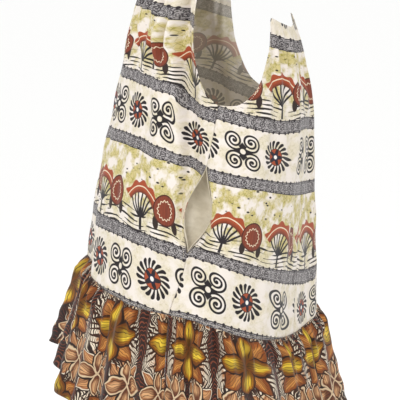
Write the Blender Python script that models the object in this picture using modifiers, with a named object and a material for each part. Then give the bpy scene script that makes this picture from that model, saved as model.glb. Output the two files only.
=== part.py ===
"""A sleeveless printed-cotton dress, worn: a halter front, a low gathered back and a ruffle hem.

Metres, +Z up. The wearer faces -Y and their left is +X. The origin is the middle of the neckband.
Every cloth piece is an open sheet shaped by functions of two cloth measures, "turn" (the angle
round the body from the centre front towards the wearer's left) and "up" (the height along the
cloth from the ruffle seam). A Solidify modifier then gives it its wall.
"""

import math

import bmesh
import bpy
import numpy as np
from mathutils import Vector

NAME = "ankara_wax_print_dress"

# Driving dimensions
CLOTH = 0.0016  # wall of the printed cotton
BAND_CLOTH = 0.0022  # wall of the neckband, which is folded double
SEAM_GAP = 0.0003  # left between two pieces at a seam
NECK_UP = 0.740  # cloth height of the neckband seam at the centre front
UNDERARM_UP = 0.440  # cloth height of the bottom of the armhole
BAND_HEIGHT = 0.030
BAND_OVERLAP = math.radians(18)  # the band's ends lie over each other at the nape
BAND_STEP = 0.0030  # the outer end stands this far off the inner one
BAND_LEAN = 0.004  # how much smaller the band's radius is at its top edge
GATHER_START = 0.028  # how far below a sewn top edge folds and gathers reach their full depth
GATHER_UNEVEN = 0.018  # how far a gather strays, as a share of its row, and how many times
GATHER_STRAYS = 4.5
GATHER_ENDS = 0.06  # the share of a row over which its gathers start and end
SEAM_LIFT = 0.031  # how much the ruffle seam rises behind each side seam
SEAM_LIFT_TURN = 116.0  # where it is highest, and how far round it reaches each way
SEAM_LIFT_WIDTH = 64.0
SEAM_LIFT_FADE_UP = 0.25  # the cloth height at which it has died out
FOLD_FADE = 0.10  # the cloth height over which a fold dies out past its ends
MOUTH_LOW_UP = 0.135  # cloth heights of the two ends of a pocket mouth
MOUTH_HIGH_UP = 0.325
MOUTH_AHEAD = 0.022  # how far the mouth's front edge is pushed forward of the seam
MOUTH_BEHIND = 0.034  # how far its back edge is pushed back
MOUTH_LEAN = 0.85  # under 1 the mouth gapes most below its middle
MOUTH_POINT = 1.3  # over 1 its two ends are pointed
MOUTH_REACH_FRONT = 7  # how fast the push dies out away from the seam, as a power
MOUTH_REACH_BACK = 4
HIP_RADIUS = 0.26  # about the body's radius at the pockets
BAG_REACH = 0.125  # how far the pocket bag goes forward from the side seam
BAG_DROP = 0.045  # how far its far end hangs below the middle of the mouth
BAG_FULL = 0.026  # how far it is filled out inwards
BAG_CLEAR = 0.012  # how far it hangs inside the front
BAG_CLEAR_BY = 0.16  # the share of its reach by which it is that far in
BAG_NARROW = 0.55  # how much lower its far end is than its mouth, as a share
BAG_NARROW_POWER = 2.5  # and how late it narrows
BAG_MOUTH = 0.97  # the height of its mouth, as a share of the opening between the panels
BAG_FULL_LEAN = 0.9  # three numbers that shape how it fills out along its reach
BAG_FULL_END = 0.93
BAG_FULL_ROUND = 0.8
BAG_BACK_IN = 1.5  # the back of the bag goes straight in before it turns forward
RUFFLE_WAVES = 24
PUCKERS_PER_WAVE = 3
PUCKER_DEPTH = 0.0026
PUCKER_START = 0.06  # shares of the depth where puckers are full, begin to die out, and end
PUCKER_FADE = 0.10
PUCKER_END = 0.60
PUFF_BY = 0.14  # the share of the depth by which the ruffle has puffed out
WAVE_DEPTH = 0.016  # how far a wave swings out and in at the hem
WAVE_SWAY = 0.006  # and to the sides
WAVE_GROWTH = 0.8  # the power of the depth that the waves grow with
WAVE_SWING = 0.18  # how much shallower some waves are than others, over this many beats
WAVE_BEATS = 5
WAVE_BEAT_START = 1.3
WAVE_DRIFTS = ((2, 0.55), (6, 0.40))  # times round, and radians each moves the waves by

# Grid sizes of the sheets
FRONT_COLUMNS = 70
BACK_COLUMNS = 32
SEAM_ROWS = 10  # rows of cells from the ruffle seam to the underarm
NECK_ROWS = 6  # rows of the front from there to the neckband
BACK_TOP_ROWS = 6  # rows of a back that spread between the last seam row and its top edge
RUFFLE_COLUMNS_PER_PUCKER = 4
RUFFLE_ROWS = (0.0, 0.07, 0.26, 0.58, 1.0)  # shares of the ruffle's depth
BAG_SIDES = 24
BAG_ROWS = 8
BAND_COLUMNS = 72
BAND_ROWS = 3

# A table is short rows of numbers under named columns. The first column is its key.


def table(columns, *rows):
    return {name: np.array(values) for name, values in zip(columns, zip(*rows))}


# One row for each ring of the body. A ring is a smooth loop in a plane that tips down to the
# back. "middle_y" is where it is widest, and the side seams are there. A larger "square"
# number makes that half of the ring more like a rounded box, and "twist" turns its back half
# a little, as metres back for each metre to the wearer's right.
RINGS = table(
    ("up", "front_y", "front_z", "back_y", "back_z", "middle_y", "half_width", "square_front", "square_back",
     "twist"),
    (0.000, -0.282, -0.702, 0.153, -0.854, -0.043, 0.288, 2.0, 4.4, 0.090),
    (0.104, -0.274, -0.602, 0.157, -0.739, -0.015, 0.271, 2.0, 4.2, 0.080),
    (0.198, -0.259, -0.510, 0.163, -0.641, -0.005, 0.254, 2.0, 3.8, 0.060),
    (0.321, -0.237, -0.390, 0.169, -0.512, 0.020, 0.225, 2.0, 3.2, 0.030),
    (0.428, -0.216, -0.283, 0.174, -0.405, 0.036, 0.202, 2.0, 2.8, 0.000),
    (0.545, -0.186, -0.171, 0.160, -0.288, 0.044, 0.178, 2.1, 2.6, 0.000),
    (0.628, -0.148, -0.099, 0.144, -0.206, 0.038, 0.150, 2.2, 2.5, 0.000),
    (0.740, -0.069, -0.020, 0.069, 0.016, 0.000, 0.068, 2.0, 2.0, 0.000),
)

# The edge of the front at the armhole: how far round the body it stands at each height.
FRONT_ARMHOLE = table(
    ("up", "turn"),
    (0.440, 90.0), (0.452, 84.0), (0.480, 79.0), (0.545, 73.0), (0.628, 71.0), (0.740, 77.0),
)

# The top edge of a back panel: its height at each place round the body.
BACK_TOP = table(
    ("turn", "up"),
    (90.0, 0.440), (105.0, 0.452), (121.0, 0.497), (133.0, 0.575), (142.0, 0.642),
    (153.0, 0.638), (180.0, 0.630),
)

# Soft folds of the body, one row each. "turn" is where a fold lies at its low and high end,
# "width" is the angle from its middle to its edge there, and "depth" is how far it stands out
# (a ridge) or in (a trough).
FOLDS = table(
    ("low_up", "high_up", "low_turn", "high_turn", "low_width", "high_width", "low_depth", "high_depth"),
    # the middle of the front stands forward, between two troughs and two ridges
    (0.00, 0.36, -2.0, 0.0, 19.0, 14.0, 0.024, 0.006),
    (0.00, 0.34, 20.0, 16.0, 10.0, 9.0, -0.005, -0.003),
    (0.00, 0.34, -22.0, -17.0, 10.0, 9.0, -0.005, -0.003),
    (0.00, 0.46, 37.0, 25.0, 10.0, 9.0, 0.004, 0.005),
    (0.00, 0.48, -38.0, -26.0, 11.0, 9.0, 0.005, 0.006),
    # a long fold from the neckband to the front edge of each pocket mouth
    (0.08, 0.62, 82.0, 48.0, 8.0, 7.0, 0.008, 0.012),
    (0.14, 0.62, 94.0, 61.0, 8.0, 7.0, -0.013, -0.018),
    (0.08, 0.60, -80.0, -50.0, 9.0, 8.0, 0.007, 0.010),
    (0.14, 0.60, -92.0, -62.0, 8.0, 8.0, -0.010, -0.014),
    (0.00, 0.30, 62.0, 55.0, 9.0, 7.0, -0.006, -0.004),
    (0.00, 0.40, -62.0, -46.0, 10.0, 8.0, -0.006, -0.006),
    # the back falls in broad folds from its gathered edge
    (0.00, 0.36, 116.0, 120.0, 11.0, 8.0, 0.007, 0.005),
    (0.04, 0.40, 138.0, 139.0, 12.0, 9.0, -0.005, -0.006),
    (0.00, 0.62, 157.0, 161.0, 9.0, 7.0, 0.005, 0.008),
    (0.00, 0.50, 206.0, 200.0, 10.0, 8.0, 0.006, 0.007),
    (0.02, 0.45, 230.0, 226.0, 12.0, 9.0, -0.006, -0.005),
    (0.00, 0.34, 249.0, 246.0, 10.0, 8.0, 0.006, 0.005),
)

# Gathers: small waves under a gathered edge, which die out down the cloth.
GATHERS = table(
    ("first_turn", "last_turn", "count", "depth", "fade_up", "full_up"),
    (-70.0, 70.0, 16, 0.0068, 0.39, 0.58),
    (134.0, 179.0, 5, 0.0036, 0.44, 0.60),
    (181.0, 226.0, 5, 0.0036, 0.44, 0.60),
)

# The ruffle is shorter and stands further out at the front than at the back.
RUFFLE = table(
    ("turn", "depth", "flare", "puff"),
    (0.0, 0.200, 0.074, 0.016), (12.0, 0.210, 0.074, 0.015), (26.0, 0.240, 0.074, 0.010),
    (45.0, 0.258, 0.070, 0.010), (90.0, 0.258, 0.062, 0.010), (135.0, 0.252, 0.062, 0.010),
    (180.0, 0.248, 0.074, 0.010),
)


def smooth_value(rows, key, name, at):
    """A value of the table at this place, on a smooth curve through its rows that never
    overshoots them."""
    places, values = rows[key], rows[name]
    steps = np.diff(values) / np.diff(places)
    before, after = steps[:-1], steps[1:]
    level = before * after <= 0
    middle = np.where(level, 0.0, 2 * before * after / np.where(level, 1.0, before + after))
    slopes = np.concatenate(([steps[0]], middle, [steps[-1]]))
    at = min(max(at, places[0]), places[-1])
    i = min(int(np.searchsorted(places, at, side="right")) - 1, len(places) - 2)
    span = places[i + 1] - places[i]
    t = (at - places[i]) / span
    return float(
        values[i] * (1 + 2 * t) * (1 - t) ** 2
        + values[i + 1] * t * t * (3 - 2 * t)
        + span * (slopes[i] * t * (1 - t) ** 2 - slopes[i + 1] * t * t * (1 - t))
    )


def smooth_step(low, high, at):
    t = min(max((at - low) / (high - low), 0.0), 1.0)
    return t * t * (3 - 2 * t)


def half_turn(turn):
    """The same angle, from -180 to 180."""
    return (turn + 180) % 360 - 180


def ring_point(turn, up):
    """The smooth body at this angle, in degrees, and this cloth height."""
    ring = {name: smooth_value(RINGS, "up", name, up) for name in RINGS}
    angle = math.radians(turn)
    side, ahead = math.sin(angle), math.cos(angle)
    share_back = smooth_step(-1, 1, -ahead)
    square = ring["square_front"] + (ring["square_back"] - ring["square_front"]) * share_back
    reach = (abs(side) ** square + abs(ahead) ** square) ** (-1 / square)
    end_y = ring["front_y"] if ahead > 0 else ring["back_y"]
    x = ring["half_width"] * reach * side
    y = ring["middle_y"] + abs(ahead) * reach * (end_y - ring["middle_y"])
    y -= ring["twist"] * x * smooth_step(0, 0.8, -ahead)
    fall = (y - ring["front_y"]) / (ring["back_y"] - ring["front_y"])
    z = ring["front_z"] + (ring["back_z"] - ring["front_z"]) * fall
    away = min(abs(abs(half_turn(turn)) - SEAM_LIFT_TURN) / SEAM_LIFT_WIDTH, 1)
    lift = SEAM_LIFT * (0.5 + 0.5 * math.cos(math.pi * away))
    return Vector((x, y, z + lift * (1 - smooth_step(0, SEAM_LIFT_FADE_UP, up))))


def ring_axes(turn, up):
    """The directions along a ring, the way turn grows, and level out of it."""
    along = (ring_point(turn + 1, up) - ring_point(turn - 1, up)).normalized()
    return along, Vector((along.y, -along.x, 0)).normalized()


def fold_offset(turn, up):
    share = np.clip((up - FOLDS["low_up"]) / (FOLDS["high_up"] - FOLDS["low_up"]), 0, 1)
    total = 0.0
    for i, along in enumerate(share):
        fold = {name: values[i] for name, values in FOLDS.items()}
        middle = fold["low_turn"] + (fold["high_turn"] - fold["low_turn"]) * along
        width = fold["low_width"] + (fold["high_width"] - fold["low_width"]) * along
        depth = fold["low_depth"] + (fold["high_depth"] - fold["low_depth"]) * along
        away = abs(half_turn(turn - middle)) / width
        if away < 1:
            fade_low = smooth_step(fold["low_up"] - FOLD_FADE, fold["low_up"], up)
            fade_high = 1 - smooth_step(fold["high_up"], fold["high_up"] + FOLD_FADE, up)
            total += depth * fade_low * fade_high * (0.5 + 0.5 * math.cos(math.pi * away))
    return total


def gather_offset(turn, up, top_up):
    total = 0.0
    for i in range(len(GATHERS["count"])):
        gather = {name: values[i] for name, values in GATHERS.items()}
        middle = (gather["first_turn"] + gather["last_turn"]) / 2
        across = gather["last_turn"] - gather["first_turn"]
        share = half_turn(turn - middle) / across + 0.5
        if not 0 < share < 1:
            continue
        uneven = GATHER_UNEVEN * math.sin(2 * math.pi * GATHER_STRAYS * share)
        wave = math.cos(2 * math.pi * gather["count"] * (share + uneven))
        sewn = smooth_step(0, GATHER_START, top_up - up)
        fade = smooth_step(gather["fade_up"], gather["full_up"], up)
        ends = smooth_step(0, GATHER_ENDS, share) * smooth_step(0, GATHER_ENDS, 1 - share)
        total += gather["depth"] * wave * sewn * fade * ends
    return total


def body_point(turn, up, top_up, gap=0.0):
    """A point of the dress's outside, moved along the ring by a gap in metres. The cloth is
    level at its sewn top edge, and folds and gathers start below it."""
    push = fold_offset(turn, up) * smooth_step(0, GATHER_START, top_up - up)
    push += gather_offset(turn, up, top_up)
    along, out = ring_axes(turn, up)
    return ring_point(turn, up) + out * push + along * gap


def front_edge_turn(up):
    return 90.0 if up <= UNDERARM_UP else smooth_value(FRONT_ARMHOLE, "up", "turn", up)


def back_top_up(turn):
    return smooth_value(BACK_TOP, "turn", "up", turn if turn <= 180 else 360 - turn)


def mouth_gape(up, most):
    """How far an edge of a pocket mouth stands off the seam at this height."""
    share = (up - MOUTH_LOW_UP) / (MOUTH_HIGH_UP - MOUTH_LOW_UP)
    if not 0 < share < 1:
        return 0.0
    return most * math.sin(math.pi * share ** MOUTH_LEAN) ** MOUTH_POINT


def new_material(name, colour, roughness):
    material = bpy.data.materials.new(name)
    material.use_nodes = True
    shader = material.node_tree.nodes["Principled BSDF"]
    shader.inputs["Base Color"].default_value = (*colour, 1.0)
    shader.inputs["Roughness"].default_value = roughness
    shader.inputs["Metallic"].default_value = 0.0
    return material


def sheet(name, points, colour, wall=CLOTH, wraps=False, closed_end=False):
    """A grid of points, row by row with the outside facing out, made a walled cloth piece."""
    mesh = bpy.data.meshes.new(name)
    grid = bmesh.new()
    rows = [[grid.verts.new(point) for point in row] for row in points]
    for low, high in zip(rows, rows[1:]):
        count = len(low)
        for i in range(count if wraps else count - 1):
            j = (i + 1) % count
            grid.faces.new((low[i], low[j], high[j], high[i]))
    if closed_end:
        middle = grid.verts.new(sum((v.co for v in rows[-1]), Vector()) / len(rows[-1]))
        for i in range(len(rows[-1])):
            grid.faces.new((rows[-1][i], rows[-1][(i + 1) % len(rows[-1])], middle))
    grid.to_mesh(mesh)
    grid.free()
    mesh.shade_smooth()
    piece = bpy.data.objects.new(name, mesh)
    dress.objects.link(piece)
    wall_modifier = piece.modifiers.new("wall", "SOLIDIFY")
    wall_modifier.thickness = wall
    wall_modifier.offset = -1
    mesh.materials.append(new_material(name + "_cloth", colour, 0.75))
    return piece


def make_front():
    """The front's columns are spread between its two edges at each height, so that its sides
    follow the armholes."""
    half_gap = SEAM_GAP / 2
    ups = [UNDERARM_UP * row / SEAM_ROWS for row in range(SEAM_ROWS + 1)]
    ups += [UNDERARM_UP + (NECK_UP - UNDERARM_UP) * row / NECK_ROWS for row in range(1, NECK_ROWS + 1)]
    points = []
    for up in ups:
        edge = front_edge_turn(up)
        line = []
        for i in range(FRONT_COLUMNS + 1):
            turn = edge * (2 * i / FRONT_COLUMNS - 1)
            gap = half_gap if i == 0 else -half_gap if i == FRONT_COLUMNS else 0.0
            near_mouth = abs(2 * i / FRONT_COLUMNS - 1) ** MOUTH_REACH_FRONT
            gap -= math.copysign(mouth_gape(up, MOUTH_AHEAD) * near_mouth, turn)
            line.append(body_point(turn, up, NECK_UP, gap))
        points.append(line)
    return sheet("front", points, (0.80, 0.76, 0.66))


def make_back(name, side):
    """side is 1 for the wearer's left. The outer columns are moved back at the pocket mouth."""
    half_gap = SEAM_GAP / 2
    points = []
    for row in range(SEAM_ROWS + BACK_TOP_ROWS):
        line = []
        for i in range(BACK_COLUMNS + 1):
            turn = 90 + 90 * i / BACK_COLUMNS
            top = back_top_up(turn)
            up = UNDERARM_UP * min(row, SEAM_ROWS - 1) / SEAM_ROWS
            up += (top - up) * max(row - SEAM_ROWS + 1, 0) / BACK_TOP_ROWS
            gap = half_gap if i == 0 else -half_gap if i == BACK_COLUMNS else 0.0
            near_mouth = (1 - i / BACK_COLUMNS) ** MOUTH_REACH_BACK
            gap += mouth_gape(up, MOUTH_BEHIND) * near_mouth
            real_turn = turn if side > 0 else 360 - turn
            line.append(body_point(real_turn, up, top, side * gap))
        points.append(line if side > 0 else line[::-1])
    return sheet(name, points, (0.80, 0.76, 0.66))


def make_pocket(name, side):
    """A flat bag with its mouth on the side seam, lying forwards and down inside the dress."""
    inside = CLOTH + 3 * SEAM_GAP
    points = []
    for row in range(BAG_ROWS + 1):
        share = row / BAG_ROWS
        half = (MOUTH_HIGH_UP - MOUTH_LOW_UP) / 2 * BAG_MOUTH * (1 - BAG_NARROW * share ** BAG_NARROW_POWER)
        middle_up = (MOUTH_HIGH_UP + MOUTH_LOW_UP) / 2 - BAG_DROP * share
        full = BAG_FULL * math.sin(math.pi * BAG_FULL_END * share ** BAG_FULL_LEAN) ** BAG_FULL_ROUND
        line = []
        for i in range(BAG_SIDES):
            angle = 2 * math.pi * i / BAG_SIDES
            up = middle_up - half * math.cos(angle)
            inner_side = 0.5 - 0.5 * math.sin(angle)
            front_lip = mouth_gape(up, MOUTH_AHEAD) * (1 - inner_side)
            back_lip = mouth_gape(up, MOUTH_BEHIND) * inner_side
            forward = share ** (1 + BAG_BACK_IN * inner_side)
            spread = (front_lip - back_lip) * (1 - forward)
            depth = inside + BAG_CLEAR * smooth_step(0, BAG_CLEAR_BY, share) + full * inner_side
            turn = side * (90 - math.degrees(BAG_REACH * forward / HIP_RADIUS))
            base = body_point(turn, up, NECK_UP, -side * spread)
            line.append(base - ring_axes(turn, up)[1] * depth)
        points.append(line if side > 0 else line[::-1])
    return sheet(name, points, (0.82, 0.79, 0.72), wraps=True, closed_end=True)


def ruffle_point(turn, share, gap=0.0):
    """A point of the ruffle, share of its depth below its seam."""
    row = {name: smooth_value(RUFFLE, "turn", name, abs(half_turn(turn))) for name in RUFFLE}
    out = row["puff"] * smooth_step(0, PUFF_BY, share) + (row["flare"] - row["puff"]) * share
    angle = math.radians(turn)
    drift = sum(size * math.sin(times * angle) for times, size in WAVE_DRIFTS)  # none at the sides
    swing = 1 - WAVE_SWING + WAVE_SWING * math.sin(WAVE_BEATS * angle + WAVE_BEAT_START)
    wave_angle = RUFFLE_WAVES * angle + drift
    out -= WAVE_DEPTH * swing * math.cos(wave_angle) * share ** WAVE_GROWTH
    pucker = -math.cos(RUFFLE_WAVES * PUCKERS_PER_WAVE * angle)
    fade = smooth_step(0, PUCKER_START, share) * (1 - smooth_step(PUCKER_FADE, PUCKER_END, share))
    out += PUCKER_DEPTH * pucker * fade
    drop = math.sqrt(row["depth"] ** 2 - row["flare"] ** 2) * share
    sway = -WAVE_SWAY * math.sin(wave_angle) * share
    along, outward = ring_axes(turn, 0.0)
    seam = body_point(turn, 0.0, NECK_UP)
    return seam + outward * out + along * (sway + gap) - Vector((0, 0, drop + SEAM_GAP))


def make_ruffle(name, first_turn):
    columns = RUFFLE_WAVES * PUCKERS_PER_WAVE * RUFFLE_COLUMNS_PER_PUCKER // 2
    half_gap = SEAM_GAP / 2
    points = []
    for share in reversed(RUFFLE_ROWS):
        line = []
        for i in range(columns + 1):
            gap = half_gap if i == 0 else -half_gap if i == columns else 0.0
            line.append(ruffle_point(first_turn + 180 * i / columns, share, gap))
        points.append(line)
    return sheet(name, points, (0.42, 0.24, 0.10))


def make_neck_band():
    """A strip round the neck whose outer end lies over its inner end at the nape."""
    first = -math.pi - BAND_OVERLAP / 2
    last = math.pi + BAND_OVERLAP / 2
    points = []
    for level in np.linspace(0, 1, BAND_ROWS + 1):
        line = []
        for angle in np.linspace(first, last, BAND_COLUMNS + 1):
            turn = math.degrees(angle)
            lap = BAND_STEP * smooth_step(last - 2 * BAND_OVERLAP, last - BAND_OVERLAP, angle)
            out = ring_axes(turn, NECK_UP)[1] * (lap - BAND_LEAN * level)
            rise = Vector((0, 0, SEAM_GAP + BAND_HEIGHT * level))
            line.append(ring_point(turn, NECK_UP) + out + rise)
        points.append(line)
    return sheet("neck_band", points, (0.80, 0.76, 0.66), wall=BAND_CLOTH)


for old in list(bpy.data.objects):
    bpy.data.objects.remove(old, do_unlink=True)

dress = bpy.data.collections.new(NAME)
bpy.context.scene.collection.children.link(dress)

make_front()
make_back("back_left", 1)
make_back("back_right", -1)
make_neck_band()
make_pocket("pocket_left", 1)
make_pocket("pocket_right", -1)
make_ruffle("ruffle_front", -90)
make_ruffle("ruffle_back", 90)
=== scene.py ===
import math
from functools import partial

import bpy
import numpy as np
from mathutils import Matrix, Vector


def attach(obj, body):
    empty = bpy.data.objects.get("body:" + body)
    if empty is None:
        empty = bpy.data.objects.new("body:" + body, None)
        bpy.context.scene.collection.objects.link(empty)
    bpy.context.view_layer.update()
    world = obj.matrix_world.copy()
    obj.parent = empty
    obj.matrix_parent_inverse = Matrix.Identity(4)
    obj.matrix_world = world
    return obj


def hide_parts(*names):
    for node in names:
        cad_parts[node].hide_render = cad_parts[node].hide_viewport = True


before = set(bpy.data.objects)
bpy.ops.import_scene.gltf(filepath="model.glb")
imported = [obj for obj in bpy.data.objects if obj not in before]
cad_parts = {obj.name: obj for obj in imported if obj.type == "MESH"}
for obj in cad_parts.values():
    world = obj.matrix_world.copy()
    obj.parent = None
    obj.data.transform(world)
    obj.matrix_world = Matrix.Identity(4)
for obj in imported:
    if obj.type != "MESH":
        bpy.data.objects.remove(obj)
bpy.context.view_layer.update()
print("frame loaded")

# Cloth places are given by "turn", degrees round the body from the centre front towards the
# wearer's left, and "up", metres of cloth above the ruffle seam.


def tableOf(columns, *rows):
    # columns by name, each a list of numbers
    return {name: np.array(values, float) for name, values in zip(columns, zip(*rows))}


def rowsOf(table):
    # a table's rows, each with its values by name
    return [dict(zip(table, values)) for values in zip(*table.values())]


bodyCloth = {
    "neckUp": 0.740,
    "underarmUp": 0.440,
    "seamGap": 0.0003,
    "thickness": 0.0013,
    "seamLift": 0.031,
    "seamLiftTurn": 116,
    "seamLiftWidth": 64,
    "seamLiftFadeUp": 0.25,
    "gatherStart": 0.028,
    "gatherUneven": 0.018,
    "gatherEnds": 0.06,
    "foldFade": 0.10,
    "mouthLowUp": 0.135,
    "mouthHighUp": 0.325,
    "mouthAhead": 0.022,
    "mouthBehind": 0.034,
    "mouthLean": 0.85,
    "mouthPoint": 1.3,
    "mouthFadeAhead": 7,
    "mouthFadeBehind": 4,
    "edgeScale": 0.40,
    "frontColumns": 236,
    "frontRows": 168,
    "backColumns": 112,
    "backRows": 150,
    "backRowsBelow": 0.66,
    "backBelowTo": 0.9,
}

bodyRings = tableOf(
    ("up", "frontY", "frontZ", "backY", "backZ", "middleY", "halfWidth")
    + ("squareFront", "squareBack", "twist"),
    (0.000, -0.282, -0.702, 0.153, -0.854, -0.043, 0.288, 2.0, 4.4, 0.090),
    (0.104, -0.274, -0.602, 0.157, -0.739, -0.015, 0.271, 2.0, 4.2, 0.080),
    (0.198, -0.259, -0.510, 0.163, -0.641, -0.005, 0.254, 2.0, 3.8, 0.060),
    (0.321, -0.237, -0.390, 0.169, -0.512, 0.020, 0.225, 2.0, 3.2, 0.030),
    (0.428, -0.216, -0.283, 0.174, -0.405, 0.036, 0.202, 2.0, 2.8, 0.000),
    (0.545, -0.186, -0.171, 0.160, -0.288, 0.044, 0.178, 2.1, 2.6, 0.000),
    (0.628, -0.148, -0.099, 0.144, -0.206, 0.038, 0.150, 2.2, 2.5, 0.000),
    (0.740, -0.069, -0.020, 0.069, 0.016, 0.000, 0.068, 2.0, 2.0, 0.000),
)

frontArmhole = tableOf(
    ("up", "turn"),
    (0.440, 90), (0.452, 84), (0.480, 79), (0.545, 73), (0.628, 71), (0.740, 77),
)

backTop = tableOf(
    ("turn", "up"),
    (90, 0.440), (105, 0.452), (121, 0.497), (133, 0.575), (142, 0.642), (153, 0.638), (180, 0.630),
)

# long soft folds, which the solids have too
longFolds = tableOf(
    ("lowUp", "highUp", "lowTurn", "highTurn", "lowWidth", "highWidth", "lowDepth", "highDepth"),
    (0.00, 0.36, -2, 0, 19, 14, 0.024, 0.006),
    (0.00, 0.34, 20, 16, 10, 9, -0.005, -0.003),
    (0.00, 0.34, -22, -17, 10, 9, -0.005, -0.003),
    (0.00, 0.46, 37, 25, 10, 9, 0.004, 0.005),
    (0.00, 0.48, -38, -26, 11, 9, 0.005, 0.006),
    (0.08, 0.62, 82, 48, 8, 7, 0.008, 0.012),
    (0.14, 0.62, 94, 61, 8, 7, -0.013, -0.018),
    (0.08, 0.60, -80, -50, 9, 8, 0.007, 0.010),
    (0.14, 0.60, -92, -62, 8, 8, -0.010, -0.014),
    (0.00, 0.30, 62, 55, 9, 7, -0.006, -0.004),
    (0.00, 0.40, -62, -46, 10, 8, -0.006, -0.006),
    (0.00, 0.36, 116, 120, 11, 8, 0.007, 0.005),
    (0.04, 0.40, 138, 139, 12, 9, -0.005, -0.006),
    (0.00, 0.62, 157, 161, 9, 7, 0.005, 0.008),
    (0.00, 0.50, 206, 200, 10, 8, 0.006, 0.007),
    (0.02, 0.45, 230, 226, 12, 9, -0.006, -0.005),
    (0.00, 0.34, 249, 246, 10, 8, 0.006, 0.005),
)

gathers = tableOf(
    ("firstTurn", "lastTurn", "count", "depth", "fadeUp", "fullUp"),
    (-70, 70, 16, 0.0068, 0.39, 0.58),
    (134, 179, 5, 0.0036, 0.44, 0.60),
    (181, 226, 5, 0.0036, 0.44, 0.60),
)


def smoothStep(low, high, at):
    t = np.clip((at - low) / (high - low), 0.0, 1.0)
    return t * t * (3 - 2 * t)


def between(first, last, share):
    return first + (last - first) * share


def hump(away):
    # 1 in the middle, falling smoothly to 0 at 1 and beyond
    return 0.5 + 0.5 * np.cos(np.pi * np.minimum(away, 1))


def curveAt(rows, key, name, at):
    # a smooth curve through the rows that never overshoots them
    places, values = rows[key], rows[name]
    steps = np.diff(values) / np.diff(places)
    before, after = steps[:-1], steps[1:]
    level = before * after <= 0
    middle = np.where(level, 0.0, 2 * before * after / np.where(level, 1.0, before + after))
    slopes = np.concatenate(([steps[0]], middle, [steps[-1]]))
    at = np.clip(at, places[0], places[-1])
    i = np.clip(np.searchsorted(places, at, side="right") - 1, 0, len(places) - 2)
    span = places[i + 1] - places[i]
    t = (at - places[i]) / span
    ends = values[i] * (1 + 2 * t) * (1 - t) ** 2 + values[i + 1] * t * t * (3 - 2 * t)
    return ends + span * (slopes[i] * t * (1 - t) ** 2 - slopes[i + 1] * t * t * (1 - t))


def halfTurn(turn):
    return (turn + 180) % 360 - 180


def ringPoints(turn, up):
    turn, up = np.broadcast_arrays(np.asarray(turn, float), np.asarray(up, float))
    ring = {name: curveAt(bodyRings, "up", name, up) for name in bodyRings}
    side, ahead = np.sin(np.radians(turn)), np.cos(np.radians(turn))
    shareBack = smoothStep(-1, 1, -ahead)
    square = between(ring["squareFront"], ring["squareBack"], shareBack)
    reach = (np.abs(side) ** square + np.abs(ahead) ** square) ** (-1 / square)
    endY = np.where(ahead > 0, ring["frontY"], ring["backY"])
    x = ring["halfWidth"] * reach * side
    y = ring["middleY"] + np.abs(ahead) * reach * (endY - ring["middleY"])
    y = y - ring["twist"] * x * smoothStep(0, 0.8, -ahead)
    fall = (y - ring["frontY"]) / (ring["backY"] - ring["frontY"])
    z = between(ring["frontZ"], ring["backZ"], fall)
    away = np.abs(np.abs(halfTurn(turn)) - bodyCloth["seamLiftTurn"]) / bodyCloth["seamLiftWidth"]
    z = z + bodyCloth["seamLift"] * hump(away) * (1 - smoothStep(0, bodyCloth["seamLiftFadeUp"], up))
    return np.stack((x, y, z), -1)


def ringAxes(turn, up):
    # along the ring, and level out of it
    along = ringPoints(turn + 1, up) - ringPoints(turn - 1, up)
    along /= np.linalg.norm(along, axis=-1, keepdims=True)
    out = np.stack((along[..., 1], -along[..., 0], 0 * along[..., 2]), -1)
    return along, out / np.linalg.norm(out, axis=-1, keepdims=True)


def foldPush(turn, up):
    total = 0.0
    for fold in rowsOf(longFolds):
        share = np.clip((up - fold["lowUp"]) / (fold["highUp"] - fold["lowUp"]), 0, 1)
        middle = between(fold["lowTurn"], fold["highTurn"], share)
        width = between(fold["lowWidth"], fold["highWidth"], share)
        depth = between(fold["lowDepth"], fold["highDepth"], share)
        fade = smoothStep(fold["lowUp"] - bodyCloth["foldFade"], fold["lowUp"], up)
        fade = fade * (1 - smoothStep(fold["highUp"], fold["highUp"] + bodyCloth["foldFade"], up))
        total = total + depth * fade * hump(np.abs(halfTurn(turn - middle)) / width)
    return total


def gatherPush(turn, up, topUp):
    total = 0.0
    endShare = bodyCloth["gatherEnds"]
    for row in rowsOf(gathers):
        middle = (row["firstTurn"] + row["lastTurn"]) / 2
        share = np.clip(halfTurn(turn - middle) / (row["lastTurn"] - row["firstTurn"]) + 0.5, 0, 1)
        uneven = bodyCloth["gatherUneven"] * np.sin(9 * np.pi * share)
        wave = np.cos(2 * np.pi * row["count"] * (share + uneven))
        sewn = smoothStep(0, bodyCloth["gatherStart"], topUp - up)
        fade = smoothStep(row["fadeUp"], row["fullUp"], up)
        ends = smoothStep(0, endShare, share) * smoothStep(0, endShare, 1 - share)
        total = total + row["depth"] * wave * sewn * fade * ends
    return total


def bodyPoints(turn, up, topUp, gap=0.0):
    turn, up, topUp, gap = np.broadcast_arrays(turn, up, topUp, gap)
    sewn = smoothStep(0, bodyCloth["gatherStart"], topUp - up)
    push = foldPush(turn, up) * sewn + gatherPush(turn, up, topUp)
    along, out = ringAxes(turn, up)
    return ringPoints(turn, up) + out * push[..., None] + along * gap[..., None]


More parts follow.
